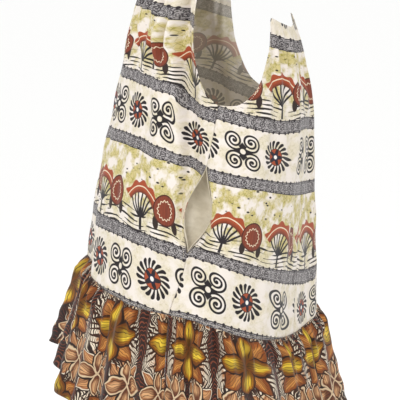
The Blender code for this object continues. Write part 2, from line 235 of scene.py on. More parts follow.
# creases laid one by one: two ends, half width and depth in metres
creases = tableOf(
    ("turnA", "upA", "turnB", "upB", "width", "depth"),
    (12, 0.66, 43, 0.42, 0.008, -0.0080),
    (28, 0.70, 57, 0.42, 0.007, -0.0110),
    (37, 0.70, 60, 0.43, 0.006, 0.0060),
    (44, 0.71, 63, 0.40, 0.006, -0.0130),
    (50, 0.71, 62, 0.50, 0.006, 0.0050),
    (53, 0.70, 66, 0.49, 0.005, -0.0050),
    (58, 0.69, 69, 0.50, 0.005, -0.0040),
    (56, 0.40, 58, 0.18, 0.014, -0.0040),
    (46, 0.34, 50, 0.02, 0.014, -0.0035),
    (70, 0.22, 72, 0.00, 0.012, -0.0030),
    (84, 0.12, 76, -0.01, 0.010, -0.0035),
    (60, 0.12, 60, -0.01, 0.012, 0.0025),
    (96, 0.33, 104, 0.12, 0.010, 0.0030),
    (102, 0.36, 118, 0.18, 0.016, -0.0045),
    (110, 0.30, 126, 0.12, 0.014, 0.0040),
    (92, 0.13, 104, 0.02, 0.010, -0.0040),
    (120, 0.44, 127, 0.24, 0.013, 0.0035),
    (134, 0.60, 137, 0.33, 0.010, -0.0040),
    (148, 0.62, 150, 0.36, 0.009, -0.0045),
    (168, 0.62, 166, 0.30, 0.009, -0.0035),
    (128, 0.14, 130, 0.00, 0.014, -0.0035),
    (146, 0.16, 144, 0.00, 0.012, 0.0030),
    (172, 0.26, 175, 0.02, 0.010, -0.0030),
    (8, 0.52, 6, 0.10, 0.014, 0.0030),
    (-12, 0.66, -10, 0.34, 0.009, -0.0040),
    (-30, 0.70, -24, 0.40, 0.009, -0.0045),
    (-47, 0.71, -38, 0.45, 0.008, -0.0050),
    (-60, 0.68, -52, 0.42, 0.009, -0.0060),
    (-50, 0.34, -54, 0.05, 0.014, -0.0040),
    (-72, 0.30, -70, 0.04, 0.012, 0.0030),
    (-34, 0.26, -36, 0.00, 0.013, -0.0030),
    (-84, 0.12, -78, -0.01, 0.010, -0.0035),
    (262, 0.34, 248, 0.14, 0.015, -0.0045),
    (256, 0.16, 250, 0.00, 0.012, 0.0030),
    (236, 0.58, 233, 0.30, 0.010, -0.0040),
    (216, 0.60, 214, 0.28, 0.010, -0.0045),
    (194, 0.60, 196, 0.26, 0.010, -0.0035),
    (224, 0.20, 226, 0.00, 0.014, -0.0035),
    (204, 0.14, 206, 0.00, 0.012, 0.0025),
)


# the front folds over before each pocket: its edge, and how far the cloth behind it falls back
pocketFold = tableOf(
    ("up", "turn", "depth"),
    (0.100, 91, 0.0), (0.144, 89.5, 0.003), (0.208, 86, 0.007), (0.324, 77.5, 0.011), (0.412, 71, 0.013),
    (0.450, 68, 0.013), (0.494, 64, 0.012), (0.552, 60, 0.010), (0.620, 55.5, 0.007), (0.700, 51, 0.0),
)


# in metres across the fold, where a pair is the start and the end of a change
foldOver = {
    "fall": 1.3,
    "fallsOver": (-0.001, 0.007),
    "risesOver": (0.016, 0.075),
    "lip": 0.35,
    "lipAhead": 0.005,
    "lipWidth": 0.009,
    "lastTurn": 91,
}
# along a crease, from its first end to its second; sway is in degrees
creaseShape = {
    "sway": 1.6,
    "swayWaves": 9,
    "firstWidth": 0.7,
    "widens": 0.5,
    "comesIn": (-0.15, 0.3),
    "goesOut": (0.55, 1.12),
}
# pairs of waves that cross: their height, and each one's waves round, waves up and shift
softWaves = (
    (0.0016, (7, 31, 0.7), (-3, 23, 1.1)),
    (0.0009, (17, -22, 2.3), (5, 41, 0.0)),
)
# how the cloth calms and sinks towards a seam, in metres
seamEdge = {
    "calmsOver": (-0.004, 0.012),
    "sink": 0.0011,
    "sinkWidth": 0.0035,
}


def metresPerDegree(up):
    return np.pi / 180 * curveAt(bodyRings, "up", "halfWidth", up)


def foldOverPush(turn, up):
    side = halfTurn(turn)
    total = 0.0
    for sign in (1, -1):
        behind = (sign * side - curveAt(pocketFold, "up", "turn", up)) * metresPerDegree(up)
        fall = smoothStep(*foldOver["fallsOver"], behind) * (1 - smoothStep(*foldOver["risesOver"], behind))
        lip = foldOver["lip"] * np.exp(-((behind + foldOver["lipAhead"]) / foldOver["lipWidth"]) ** 2)
        push = (lip - foldOver["fall"] * fall) * (np.abs(side) < foldOver["lastTurn"])
        total = total + curveAt(pocketFold, "up", "depth", up) * push
    return total


def creasePush(turn, up):
    shape = creaseShape
    total = foldOverPush(turn, up)
    for i, row in enumerate(rowsOf(creases)):
        share = (up - row["upA"]) / (row["upB"] - row["upA"])
        inside = np.clip(share, 0, 1)
        middle = between(row["turnA"], row["turnB"], inside)
        middle = middle + shape["sway"] * np.sin(shape["swayWaves"] * share + i)
        width = row["width"] * (shape["firstWidth"] + shape["widens"] * inside)
        away = halfTurn(turn - middle) * metresPerDegree(up) / width
        taper = smoothStep(*shape["comesIn"], share) * (1 - smoothStep(*shape["goesOut"], share))
        total = total + row["depth"] * taper * np.exp(-away ** 2)
    return total


def softUneven(turn, up):
    # broad, very low waves, so that no stretch of cloth is perfectly even
    total = 0.0
    for height, *pair in softWaves:
        for around, upward, shift in pair:
            height = height * np.sin(around * np.radians(turn) + upward * up + shift)
        total = total + height
    return total


def clothPoints(turn, up, topUp, gap=0.0, edge=None):
    # the solids' form with its creases; edge is the distance to a seamed side
    turn, up, topUp, gap = np.broadcast_arrays(turn, up, topUp, gap)
    points = bodyPoints(turn, up, topUp, gap)
    sewn = smoothStep(0, bodyCloth["gatherStart"], topUp - up)
    push = (creasePush(turn, up) + softUneven(turn, up)) * sewn
    if edge is not None:
        push = push * smoothStep(*seamEdge["calmsOver"], edge)
        push = push - seamEdge["sink"] * np.exp(-(edge / seamEdge["sinkWidth"]) ** 2)
    return points + ringAxes(turn, up)[1] * push[..., None]


def frontEdgeTurn(up):
    turn = curveAt(frontArmhole, "up", "turn", up)
    return np.where(up <= bodyCloth["underarmUp"], 90.0, turn)


def backTopUp(turn):
    return curveAt(backTop, "turn", "up", np.where(turn <= 180, turn, 360 - turn))


def mouthGape(up, most):
    low, high = bodyCloth["mouthLowUp"], bodyCloth["mouthHighUp"]
    share = np.clip((up - low) / (high - low), 0, 1)
    return most * np.sin(np.pi * share ** bodyCloth["mouthLean"]).clip(0) ** bodyCloth["mouthPoint"]


# where the print lies: the height in the print, in millimetres, that each band's lower edge has,
# and how high on the cloth that edge lies round the body
bandHeights = (27.0, 139.0, 316.0, 455.0, 632.0)
frontBands = tableOf(
    ("turn", "one", "two", "three", "four", "five"),
    (-90, 0.002, 0.116, 0.298, 0.402, 0.574),
    (-60, 0.008, 0.118, 0.296, 0.418, 0.572),
    (0, -0.010, 0.096, 0.264, 0.402, 0.556),
    (25, -0.006, 0.103, 0.280, 0.412, 0.562),
    (37, -0.004, 0.108, 0.288, 0.416, 0.566),
    (45, 0.000, 0.113, 0.293, 0.419, 0.568),
    (57, 0.008, 0.120, 0.297, 0.424, 0.571),
    (68, 0.010, 0.123, 0.300, 0.428, 0.574),
    (73, 0.010, 0.124, 0.302, 0.406, 0.574),
    (82, 0.006, 0.123, 0.300, 0.402, 0.574),
    (90, 0.002, 0.118, 0.298, 0.404, 0.574),
)
backBands = tableOf(
    ("turn", "one", "two", "three", "four", "five"),
    (90, 0.010, 0.128, 0.292, 0.414, 0.590),
    (97, 0.012, 0.130, 0.293, 0.414, 0.590),
    (110, 0.012, 0.131, 0.295, 0.415, 0.590),
    (122, 0.012, 0.128, 0.299, 0.416, 0.592),
    (133, 0.012, 0.124, 0.300, 0.416, 0.592),
    (146, 0.008, 0.118, 0.296, 0.416, 0.590),
    (155, 0.004, 0.111, 0.291, 0.418, 0.586),
    (177, -0.004, 0.097, 0.280, 0.418, 0.580),
    (203, -0.008, 0.081, 0.273, 0.408, 0.576),
    (235, -0.002, 0.094, 0.280, 0.408, 0.576),
    (270, 0.006, 0.118, 0.296, 0.408, 0.578),
)
# columns of motifs against metres of cloth from a back's side seam, low down and high up
backColumnPlaces = tableOf(
    ("along", "low", "high"),
    (-0.030, -1.00, -0.10), (0.061, 0.00, 0.95), (0.152, 1.00, 2.00), (0.186, 1.37, 2.37),
    (0.243, 1.63, 2.56), (0.262, 1.80, 2.66), (0.286, 2.00, 2.93), (0.306, 2.17, 3.15),
    (0.329, 2.37, 3.40), (0.397, 2.72, 4.10), (0.470, 3.40, 4.90),
)
# where columns of motifs run evenly: where a piece's columns start and how far apart they are, at one
# height, in metres; a lean is the change in it for a metre up
columnShape = {
    "pitch": 0.090,
    "atUp": 0.066,
    "frontStart": 0.288,
    "frontStartLean": 0.319,
    "frontPitch": 0.0870,
    "frontPitchLean": 0.0360,
    "backPitch": 0.0930,
    "backPitchLean": 0.030,
    "backHigher": 0.304,
    "rightStart": 0.46,
}


def printHeight(bands, turn, up):
    knots = [curveAt(bands, "turn", name, turn) for name in ("one", "two", "three", "four", "five")]
    height = bandHeights[0] + (up - knots[0]) * 1000
    for i in range(4):
        slope = (bandHeights[i + 1] - bandHeights[i]) / (knots[i + 1] - knots[i])
        height = np.where(up > knots[i], bandHeights[i] + (up - knots[i]) * slope, height)
    return np.where(up > knots[4], bandHeights[4] + (up - knots[4]) * 1000, height) / 1000


def alongRing(turn, up, start):
    # metres along the ring from a start angle, read from a fine grid of places
    steps, farthest = 400, 200
    fine = np.linspace(start - farthest, start + farthest, 2 * steps + 1)
    ups = np.linspace(-0.03, 0.76, 80)
    ring = ringPoints(fine[None, :], ups[:, None])
    lengths = np.cumsum(np.linalg.norm(np.diff(ring, axis=1), axis=-1), axis=1)
    lengths = np.concatenate((np.zeros((len(ups), 1)), lengths), axis=1)
    lengths -= lengths[:, steps : steps + 1]
    row = np.clip((up - ups[0]) / (ups[1] - ups[0]), 0, len(ups) - 1.001)
    column = np.clip((turn - fine[0]) / (fine[1] - fine[0]), 0, len(fine) - 1.001)
    r, c = row.astype(int), column.astype(int)
    low = between(lengths[r, c], lengths[r, c + 1], column - c)
    high = between(lengths[r + 1, c], lengths[r + 1, c + 1], column - c)
    return between(low, high, row - r)


def frontPrint(turn, up):
    shape, above = columnShape, up - columnShape["atUp"]
    lengths = alongRing(turn, up, 0) - shape["frontStart"] + shape["frontStartLean"] * above
    across = lengths / (shape["frontPitch"] - shape["frontPitchLean"] * above) * shape["pitch"]
    return across, printHeight(frontBands, turn, up), across


def backPrint(turn, up, side):
    shape, above = columnShape, up - columnShape["atUp"]
    evenPitch = shape["backPitch"] - shape["backPitchLean"] * above
    lengths = alongRing(turn, up, 90 if side > 0 else 180)
    column = shape["rightStart"] + lengths / evenPitch
    if side > 0:
        low, high = (curveAt(backColumnPlaces, "along", name, lengths) for name in ("low", "high"))
        column = between(low, high, above / shape["backHigher"])
    across = column * shape["pitch"]
    return across, printHeight(backBands, turn, up), lengths / evenPitch * shape["pitch"]


def sheetPiece(name, points, uv, materials, thickness, wraps=False, closedEnd=False):
    # a grid, row by row with the outside facing out, given its wall and smooth shading; uv holds
    # the print's across and up and, where motif columns aren't evenly spaced, the true across
    rows, columns = points.shape[:2]
    verts = points.reshape(-1, 3)
    uvs = uv.reshape(-1, uv.shape[-1])
    index = np.arange(rows * columns).reshape(rows, columns)
    right = np.roll(index, -1, axis=1) if wraps else index[:, 1:]
    left = index if wraps else index[:, :-1]
    faces = np.stack((left[:-1], right[:-1], right[1:], left[1:]), -1).reshape(-1, 4).tolist()
    if closedEnd:
        verts = np.vstack((verts, points[-1].mean(axis=0)))
        uvs = np.vstack((uvs, uv[-1].mean(axis=0)))
        last = index[-1]
        faces += [[int(a), int(b), len(verts) - 1] for a, b in zip(last, np.roll(last, -1))]
    mesh = bpy.data.meshes.new(name)
    mesh.from_pydata(verts.tolist(), [], faces)
    corners = np.empty(len(mesh.loops), int)
    mesh.loops.foreach_get("vertex_index", corners)
    for layerName, across in (("clothPlace", 0), ("clothLength", 2))[: uv.shape[-1] - 1]:
        layer = mesh.uv_layers.new(name=layerName)
        layer.data.foreach_set("uv", uvs[corners][:, (across, 1)].reshape(-1))
    for material in materials:
        mesh.materials.append(material)
    piece = bpy.data.objects.new(name, mesh)
    bpy.context.scene.collection.objects.link(piece)
    bpy.ops.object.select_all(action="DESELECT")
    piece.select_set(True)
    bpy.context.view_layer.objects.active = piece
    wall = piece.modifiers.new("wall", "SOLIDIFY")
    wall.thickness = thickness
    wall.offset = -1
    wall.material_offset = len(materials) - 1
    wall.material_offset_rim = 0
    bpy.ops.object.modifier_apply(modifier=wall.name)
    bpy.ops.object.shade_smooth()
    return piece


def linearColour(code):
    # an sRGB hex code as a linear colour
    parts = [int(code[i : i + 2], 16) / 255 for i in (1, 3, 5)]
    return [c / 12.92 if c <= 0.04045 else ((c + 0.055) / 1.055) ** 2.4 for c in parts] + [1.0]


# short names of sums; zigzag goes up and down between 0 and a height, and near is 1 within a distance
sums = {
    "+": "ADD",
    "-": "SUBTRACT",
    "*": "MULTIPLY",
    "*+": "MULTIPLY_ADD",
    "/": "DIVIDE",
    "abs": "ABSOLUTE",
    "max": "MAXIMUM",
    "min": "MINIMUM",
    "zigzag": "PINGPONG",
    "near": "COMPARE",
    ">": "GREATER_THAN",
}


def addNode(tree, kind, *values, **settings):
    # kind is a sum, or a kind of node that may name an operation after a space; a value is a number, a
    # hex colour or a socket to link from, in the order of the inputs in use; every Mix is of colours
    kind, _, operation = ("Math " + sums[kind] if kind in sums else kind).partition(" ")
    node = tree.nodes.new("ShaderNode" + kind)
    if operation:
        node.operation = operation
    if kind == "Mix":
        node.data_type = "RGBA"
    for name, setting in settings.items():
        setattr(node, name, setting)
    for socket, value in zip([socket for socket in node.inputs if socket.enabled], values):
        if isinstance(value, bpy.types.NodeSocket):
            tree.links.new(value, socket)
        elif value is not None:
            socket.default_value = linearColour(value) if isinstance(value, str) else value
    return next(socket for socket in node.outputs if socket.enabled)


def newGroup(name):
    # a group with one colour out, and the function that adds a node to it
    tree = bpy.data.node_groups.new(name, "ShaderNodeTree")
    tree.interface.new_socket("Colour", in_out="OUTPUT", socket_type="NodeSocketColor")
    return tree, partial(addNode, tree)


def finishGroup(tree, colour):
    tree.links.new(colour, tree.nodes.new("NodeGroupOutput").inputs[0])
    return tree


def clothPlace(add, layer="clothPlace"):
    # the place on the flat cloth, in millimetres, and its two parts
    place = add("VectorMath MULTIPLY", add("UVMap", uv_map=layer), (1000, 1000, 1000))
    parts = add("SeparateXYZ", place).node.outputs
    return place, parts[0], parts[1]


def polarPlace(add, x, y):
    # distance and angle, in turns, round the motif's middle
    reach = add("VectorMath LENGTH", add("CombineXYZ", x, y, 0.0))
    return reach, add("/", add("Math ARCTAN2", y, x), 2 * math.pi)


def within(add, distance, edge, bleed=0.4):
    # 1 short of the edge and 0 past it, over the bleed of the dye; a negative bleed turns it round
    return add("MapRange", distance, edge + bleed, edge - bleed)


def ramHorns(add, x, y):
    # four spirals of even line, each with its outer end run into a dark knot round a clear dot
    horns = {"aside": 18.6, "above": 22.6, "pitch": 8.7, "turnsOut": 1.943, "halfLine": 2.25}
    middle = {"lean": math.radians(50.5), "eye": 3.0, "knot": 20.5, "dot": 5.8}
    sideX, sideY = add("abs", x), add("abs", y)
    nearX = add("-", sideX, horns["aside"])
    nearY = add("-", sideY, horns["above"])
    # the angle starts at the line to the knot, so that the spirals end there
    cosine, sine = math.cos(middle["lean"]), math.sin(middle["lean"])
    outX = add("*+", nearY, sine, add("*", nearX, cosine))
    outY = add("*+", nearY, cosine, add("*", nearX, -sine))
    reach, turns = polarPlace(add, outX, outY)
    winding = add("*+", reach, 1 / horns["pitch"], turns)
    winding = add("-", winding, horns["turnsOut"])
    line, bleed = horns["halfLine"] / horns["pitch"], 0.04
    coil = within(add, add("zigzag", winding, 0.5), line, bleed)
    coil = add("*", coil, within(add, winding, line + 0.1, bleed))
    coil = add("max", coil, within(add, reach, middle["eye"]))
    knot = within(add, add("+", sideX, sideY), middle["knot"], 1.5)
    knot = add("*", knot, within(add, winding, bleed, -bleed))
    coil = add("max", coil, knot)
    return add("*", coil, within(add, polarPlace(add, x, y)[0], middle["dot"], -0.4))


def sunWheel(add, x, y, ground):
    # curved petals with round heads, round a rust disc with a dark star
    petals = {"count": 17, "swirl": 0.0021, "from": 20.0, "to": 34.6, "thin": 1.6, "thick": 4.5}
    disc = {"edge": 20.4, "rim": 19.0, "points": 5, "starOut": 19.5, "starIn": 9.0, "hub": 8.6, "dot": 4.6}
    reach, turns = polarPlace(add, x, y)
    swirled = add("*+", reach, petals["swirl"], turns)
    share = add("zigzag", add("*", swirled, petals["count"]), 0.5)
    width = add("*", reach, 2 * math.pi / petals["count"])
    across = add("*", share, width)
    half = add("MapRange", reach, petals["from"], petals["to"], petals["thin"], petals["thick"])
    beyond = add("-", reach, petals["to"])
    body = add("max", add("-", across, half), beyond)
    head = add("-", polarPlace(add, across, beyond)[0], petals["thick"])
    petal = within(add, add("min", body, head), 0.0)
    colour = add("Mix", petal, ground, "#1F1A1C")
    points = add("zigzag", add("*", turns, disc["points"]), 0.5)
    smooth = {"interpolation_type": "SMOOTHERSTEP"}
    star = add("MapRange", points, 0.0, 0.5, disc["starOut"], disc["starIn"], **smooth)
    dark = within(add, add("-", reach, star), 0.0)
    dark = add("max", dark, within(add, reach, disc["rim"], -0.4))
    inner = add("Mix", dark, "#A14A2B", "#2A2126")
    inner = add("Mix", within(add, reach, disc["hub"]), inner, "#23233A")
    inner = add("Mix", within(add, reach, disc["dot"]), inner, "#F4F0E8")
    return add("Mix", within(add, reach, disc["edge"]), colour, inner)


def laceBand(add, place, x, fromMiddle):
    # a grey band speckled at 2.5 mm, with dark edges, knots along them and rosettes between
    band = {"grainsPerMm": 0.40, "line": 9.0, "edge": 11.6, "knotsAt": 12.8, "knot": 3.1, "knotPitch": 18.0}
    rosette = {"pitch": 21.0, "ring": 5.4, "ringHalf": 1.1, "dot": 2.2, "strength": 0.7}
    grain = add("TexVoronoi", place, band["grainsPerMm"], feature="F1")
    colour = add("Mix", add("MapRange", grain, 0.30, 0.62), "#363132", "#A9A4A3")
    fromKnot = add("zigzag", x, band["knotPitch"] / 2)
    knot, _ = polarPlace(add, fromKnot, add("-", fromMiddle, band["knotsAt"]))
    knot = within(add, knot, band["knot"])
    line = add("near", fromMiddle, band["line"], 0.5)
    edge = add("max", within(add, fromMiddle, band["edge"], -0.4), line)
    edge = add("max", edge, knot)
    reach, _ = polarPlace(add, add("zigzag", x, rosette["pitch"] / 2), fromMiddle)
    ring = add("near", reach, rosette["ring"], rosette["ringHalf"])
    flower = add("max", ring, within(add, reach, rosette["dot"]))
    flower = add("*", flower, rosette["strength"])
    colour = add("Mix", flower, colour, "#2E272C")
    return add("Mix", edge, colour, "#2B2529"), knot


def crackledGround(add, place, strength):
    # cream with soft olive clouds 33 mm across, darker flecks in them at 9 mm and wax crackle at 12 mm
    perMm = {"cloud": 0.030, "fleck": 0.11, "crackle": 0.085}
    cloud = add("TexNoise", place, perMm["cloud"], 3.0, 0.55)
    patch = add("*", add("MapRange", cloud, 0.42, 0.58), strength)
    colour = add("Mix", patch, "#EAE1D8", "#CCBE84")
    fine = add("TexNoise", place, perMm["fleck"], 4.0, 0.65)
    flecks = add("MapRange", fine, 0.53, 0.64, 0.0, 0.9)
    cells = add("TexVoronoi", place, perMm["crackle"], feature="DISTANCE_TO_EDGE")
    lines = add("MapRange", cells, 0.0, 0.06, 0.6, 0.0)
    for mask, dye in ((flecks, "#A59A44"), (lines, "#8A8148")):
        colour = add("Mix", add("*", mask, patch), colour, dye)
    return colour


def fanMotif(add, x, y, ground):
    # an open hand fan: dark ribs from one foot, and a rust leaf with a scalloped edge and a pale arc
    fan = {"opening": 0.153, "ribs": 22.0, "ribHalf": 2.2, "ribTo": 51.0, "handleHalf": 3.0, "handleTo": 21.0}
    leaf = {"from": 46.0, "to": 68.0, "scallops": 13, "scallop": 3.0, "shadeTo": 55.0}
    arc = {"at": 58.5, "half": 1.1}
    reach, turns = polarPlace(add, x, y)
    fromUp = add("-", turns, 0.25)
    opened = within(add, add("abs", fromUp), fan["opening"], 0.003)
    # the ribs bend a little
    bend = add("Math SINE", add("*", reach, 0.16))
    share = add("*+", bend, 0.10, add("*", fromUp, fan["ribs"]))
    width = add("*", reach, 2 * math.pi / fan["ribs"])
    across = add("*", add("zigzag", share, 0.5), width)
    ribEnd = within(add, reach, fan["ribTo"], 1.0)
    rib = add("*", within(add, across, fan["ribHalf"], 0.5), ribEnd)
    rib = add("*", rib, opened)
    handle = within(add, add("abs", x), fan["handleHalf"])
    handle = add("*", handle, within(add, reach, fan["handleTo"], 1.0))
    colour = add("Mix", add("max", rib, handle), ground, "#262124")
    lobes = add("Math COSINE", add("*", fromUp, 2 * math.pi * leaf["scallops"]))
    edge = add("*+", lobes, leaf["scallop"], leaf["to"])
    onLeaf = within(add, add("-", edge, reach), 0.0, -0.5)
    onLeaf = add("*", onLeaf, within(add, reach, leaf["from"] + 0.5, -0.5))
    onLeaf = add("*", onLeaf, opened)
    paper = add("Mix", add("MapRange", reach, leaf["from"], leaf["shadeTo"]), "#5E2C1E", "#A34A2A")
    paper = add("Mix", add("near", reach, arc["at"], arc["half"]), paper, "#E6D2B4")
    return add("Mix", onLeaf, colour, paper)


def gourdMotif(add, x, y, ground):
    # a round gourd with a dark rim and a pale zigzag ring, over two dark leaves
    gourd = {"radius": 28.6, "rim": 26.0, "ring": 18.5, "ringHalf": 1.0, "zigzags": 14.0, "zigzag": 7.0}
    leaf = {"aside": 22.0, "below": 26.0, "half": 12.5, "slender": 1.8}
    reach, turns = polarPlace(add, x, y)
    leafX = add("-", add("abs", x), leaf["aside"])
    leafX = add("*", leafX, leaf["slender"])
    fromLeaf, _ = polarPlace(add, leafX, add("+", y, leaf["below"]))
    colour = add("Mix", within(add, fromLeaf, leaf["half"], 0.5), ground, "#31241F")
    zigzag = add("zigzag", add("*", turns, gourd["zigzags"]), 0.5)
    zigzag = add("*+", zigzag, gourd["zigzag"], reach)
    speckle = add("MapRange", add("TexNoise", x, 0.3, 2.0, 0.5), 0.4, 0.6)
    skin = add("Mix", speckle, "#6E3424", "#8A422C")
    rim = add("MapRange", reach, gourd["rim"] - 0.5, gourd["rim"] + 0.5, 0.0, 0.8)
    skin = add("Mix", rim, skin, "#3A2019")
    skin = add("Mix", add("near", zigzag, gourd["ring"], gourd["ringHalf"]), skin, "#E6D2B4")
    return add("Mix", within(add, reach, gourd["radius"]), colour, skin)


def wideRow(add, place, x, rowY, rowNumber, ground):
    # fans and gourds in turn, over broken wavy strokes and under small dark seeds
    pair = {"pitch": 168.0, "shift": 0.37, "fineness": 0.95, "fan": (60.0, 191.0), "gourd": (131.0, 224.0)}
    stroke = {"pitch": 9.0, "wave": 5.0, "wavesPerMm": 0.04, "below": 210.0, "thickest": 0.26}
    seed = {"above": 262.0, "half": 0.16, "bleed": 0.03, "scatter": 0.85}
    fade = 4.0
    ripple = add("Math SINE", add("*", x, stroke["wavesPerMm"]))
    ripple = add("*+", ripple, stroke["wave"], rowY)
    across = add("zigzag", add("*", ripple, 1 / stroke["pitch"]), 0.5)
    broken = add("TexNoise", add("VectorMath MULTIPLY", place, (0.014, 0.13, 0.0)), 1.0, 2.0, 0.5)
    thick = add("MapRange", broken, 0.44, 0.60, 0.0, stroke["thickest"])
    strokes = within(add, add("-", thick, across), 0.0, -0.02)
    strokes = add("*", strokes, within(add, rowY, stroke["below"], fade))
    seeds = add("VectorMath MULTIPLY", place, (0.040, 0.085, 0.0))
    seeds = add("TexVoronoi", seeds, 1.0, None, None, None, seed["scatter"], feature="F1")
    seeds = within(add, seeds, seed["half"], seed["bleed"])
    seeds = add("*", seeds, within(add, rowY, seed["above"], -fade))
    colour = add("Mix", add("max", strokes, seeds), ground, "#29231F")
    shift = add("*", rowNumber, pair["shift"])
    pairX = add("Math FRACT", add("*+", x, 1 / pair["pitch"], shift))
    pairX = add("*", pairX, pair["pitch"])
    fine = pair["fineness"]
    for motif, (motifX, motifY) in ((fanMotif, pair["fan"]), (gourdMotif, pair["gourd"])):
        fromX = add("*+", pairX, fine, -motifX * fine)
        fromY = add("*+", rowY, fine, -motifY * fine)
        colour = motif(add, fromX, fromY, colour)
    return colour


def makePrint():
    # rows of horns and wheels, wide rows and lace bands; heights go up the repeat, in millimetres
    tree, add = newGroup("waxPrint")
    place, x, y = clothPlace(add, "clothLength")
    columnX = clothPlace(add)[1]
    repeat = {"height": 316.0, "cell": 90.0, "symbolsAt": 83.0, "symbolHalf": 56.0}
    bands = {"at": (13.5, 152.5), "half": 13.5}
    clouds = {"from": 166.0, "full": 230.0, "least": 0.35, "most": 1.15}
    rowY = add("Math FLOORED_MODULO", y, repeat["height"])
    rowNumber = add("Math FLOOR", add("/", y, repeat["height"]))
    columnPlace = add("*+", columnX, 1 / repeat["cell"], 0.5)
    column = add("Math FLOOR", columnPlace)
    cellX = add("-", columnPlace, column)
    cellX = add("*+", cellX, repeat["cell"], -repeat["cell"] / 2)
    cellY = add("-", rowY, repeat["symbolsAt"])
    ground = crackledGround(add, place, add("MapRange", rowY, *clouds.values()))
    horns = add("Mix", ramHorns(add, cellX, cellY), ground, "#1F1A1C")
    wheel = sunWheel(add, cellX, cellY, ground)
    odd = add("Math FLOORED_MODULO", add("+", column, rowNumber), 2.0)
    symbols = add("Mix", add(">", odd, 0.5), horns, wheel)
    wide = wideRow(add, place, x, rowY, rowNumber, ground)
    colour = add("Mix", add("near", cellY, 0.0, repeat["symbolHalf"]), wide, symbols)
    near = [add("abs", add("-", rowY, bandAt)) for bandAt in bands["at"]]
    fromMiddle = add("min", *near)
    lace, knot = laceBand(add, place, x, fromMiddle)
    inBand = add("max", within(add, fromMiddle, bands["half"], 0.3), knot)
    return finishGroup(tree, add("Mix", inBand, colour, lace))


# a flower's parts, in shares of its half width; a pair is the start and the end of a change
flowerShape = {
    "leafShort": 0.60,
    "leafFull": 1.60,
    "petalFull": 1.30,
    "thorns": 40.0,
    "thornBase": 0.70,
    "thornTip": 1.32,
    "thornThick": 0.42,
    "sideShade": 0.45,
    "veins": 11.0,
    "bodyAlong": (0.15, 0.75),
    "heartAlong": (0.30, 0.46),
    "heartInside": (0.13, 0.20),
    "edge": (0.09, 0.06),
    "line": (0.02, 0.0),
    "border": (-0.065, -0.045),
}


def openFlower(add, x, y, wide, high, shades, ground):
    # four striped leaves on the slant behind four full petals, over a ring of dark thorns; each has a
    # dark edge, a lighter heart and one side in shade
    shape = flowerShape
    u = add("*", add("abs", x), 1 / wide)
    v = add("*", add("abs", y), 1 / high)
    outward, turns = polarPlace(add, u, v)
    thorns = add("zigzag", add("*", turns, shape["thorns"]), 0.5)
    thick = add("MapRange", outward, shape["thornBase"], shape["thornTip"], shape["thornThick"], 0.0)
    thorns = within(add, add("-", thick, thorns), 0.0, -0.03)
    thorns = add("*", thorns, within(add, outward, shape["thornTip"] - 0.01, 0.01))
    colour = add("Mix", thorns, ground, shades[0][0])
    leafLong = add("*", add("+", u, v), shape["leafShort"])
    leafWide = add("abs", add("-", u, v))
    leafSide = add(">", u, v)
    petalLong, petalWide = add("max", u, v), add("min", u, v)
    petalSide = add(">", add("*", x, y), 0.0)
    for along, across, side, fullness, (line, edge, deep, body, heart) in (
        (leafLong, leafWide, leafSide, shape["leafFull"], shades[0]),
        (petalLong, petalWide, petalSide, shape["petalFull"], shades[1]),
    ):
        bow = add("*", along, add("-", 1.0, along))
        inside = add("-", add("*", bow, fullness), across)
        petal = add("Mix", add("MapRange", along, *shape["bodyAlong"]), deep, body)
        heartAt = add("MapRange", along, *shape["heartAlong"])
        heartAt = add("*", add("MapRange", inside, *shape["heartInside"]), heartAt)
        petal = add("Mix", heartAt, petal, heart)
        petal = add("Mix", add("*", side, shape["sideShade"]), petal, deep)
        veins = add("zigzag", add("*", across, shape["veins"]), 0.5)
        petal = add("Mix", add("MapRange", veins, 0.16, 0.02, 0.0, 0.9), petal, line)
        petal = add("Mix", add("MapRange", inside, *shape["edge"]), petal, edge)
        petal = add("Mix", add("MapRange", inside, *shape["line"]), petal, line)
        colour = add("Mix", add("MapRange", inside, *shape["border"]), colour, petal)
    return colour


def feather(add, x, y, quill, reach, pitch, shades, ground):
    # a brown quill crossed by fine stripes, whose dark teeth droop and thin out to each side
    dark, brown, cream = shades
    shape = {"sway": 6.0, "swaysPerMm": 0.045, "droop": 0.16, "bend": 1.6, "thick": 0.38, "thin": 0.06}
    sway = add("Math SINE", add("*", y, shape["swaysPerMm"]))
    aside = add("abs", add("*+", sway, shape["sway"], x))
    droop = add("*+", add("Math POWER", aside, shape["bend"]), shape["droop"], y)
    teeth = add("zigzag", add("*", droop, 1 / pitch), 0.5)
    thick = add("MapRange", aside, quill, reach, shape["thick"], shape["thin"])
    teeth = within(add, add("-", thick, teeth), 0.0, -0.05)
    teeth = add("*", teeth, within(add, aside, reach - 1.0, 1.0))
    striped = add("Mix", within(add, aside, quill + 0.5, 1.5), cream, brown)
    colour = add("Mix", within(add, aside, reach - 7.0, 5.0), ground, striped)
    return add("Mix", teeth, colour, dark)


